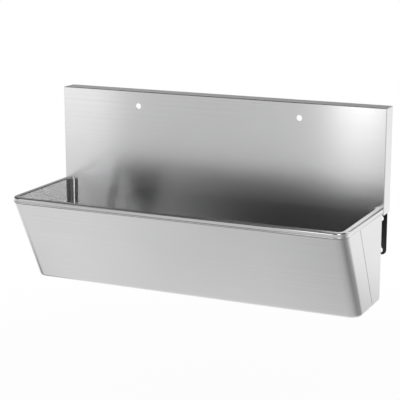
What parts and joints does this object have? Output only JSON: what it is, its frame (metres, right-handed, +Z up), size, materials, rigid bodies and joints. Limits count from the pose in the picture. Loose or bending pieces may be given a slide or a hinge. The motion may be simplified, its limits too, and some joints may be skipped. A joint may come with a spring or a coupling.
{
  "type": "surgical scrub sink",
  "caption": "Long wall-hung stainless scrub sink with a tall hollow splashback, rolled rim, sloping removable apron, tap holes, keyhole wall brackets and a lift-out waste strainer.",
  "frame": {"origin": "on the wall, midway between the four keyholes that hang the sink", "axes": "+X along the sink to the right of the person who washes, +Y back into the wall, +Z up"},
  "size_m": [1.4, 0.52, 0.7615],
  "materials": {
    "satin_steel": "satin, brushed along the sheet",
    "bowl_steel": "satin",
    "mill_steel": "mill finish, unpolished",
    "bright_steel": "plain bright fasteners",
    "polished_steel": "polished",
    "black_paint": "black powder coat",
    "sound_felt": "matt bitumen felt",
    "black_rubber": "matt",
    "white_plastic": "matt",
    "nut_brass": "turned"
  },
  "bodies": {
    "sink": {"bowl": "bowl_steel", "waste_recess": "bowl_steel", "rim": "satin_steel", "splashback": "satin_steel", "splash_stiffeners": "mill_steel", "tap_plates": "mill_steel", "sound_pads": "sound_felt", "left_end_panel": "satin_steel", "right_end_panel": "satin_steel", "apron_rail": "mill_steel", "rear_rail": "mill_steel", "left_wall_bracket": "black_paint", "right_wall_bracket": "black_paint", "bracket_bolts": "bright_steel", "bracket_washers": "bright_steel", "bracket_nuts": "bright_steel", "waste_flange": "polished_steel", "waste_gasket": "black_rubber", "waste_seal": "black_rubber", "waste_slip_washer": "white_plastic", "waste_backnut": "nut_brass", "earth_stud": "bright_steel", "earth_nuts": "nut_brass"},
    "apron": {"apron": "satin_steel", "apron_screws": "bright_steel", "apron_nuts": "bright_steel"},
    "strainer": {"strainer": "polished_steel"}
  },
  "joints": [
    {"name": "apron_off", "type": "slide", "parent": "sink", "child": "apron", "axis": [0, -1, 0], "range_m": [0, 0.4]},
    {"name": "strainer_lift", "type": "slide", "parent": "sink", "child": "strainer", "axis": [0, 0, 1], "range_m": [0, 0.32]}
  ]
}
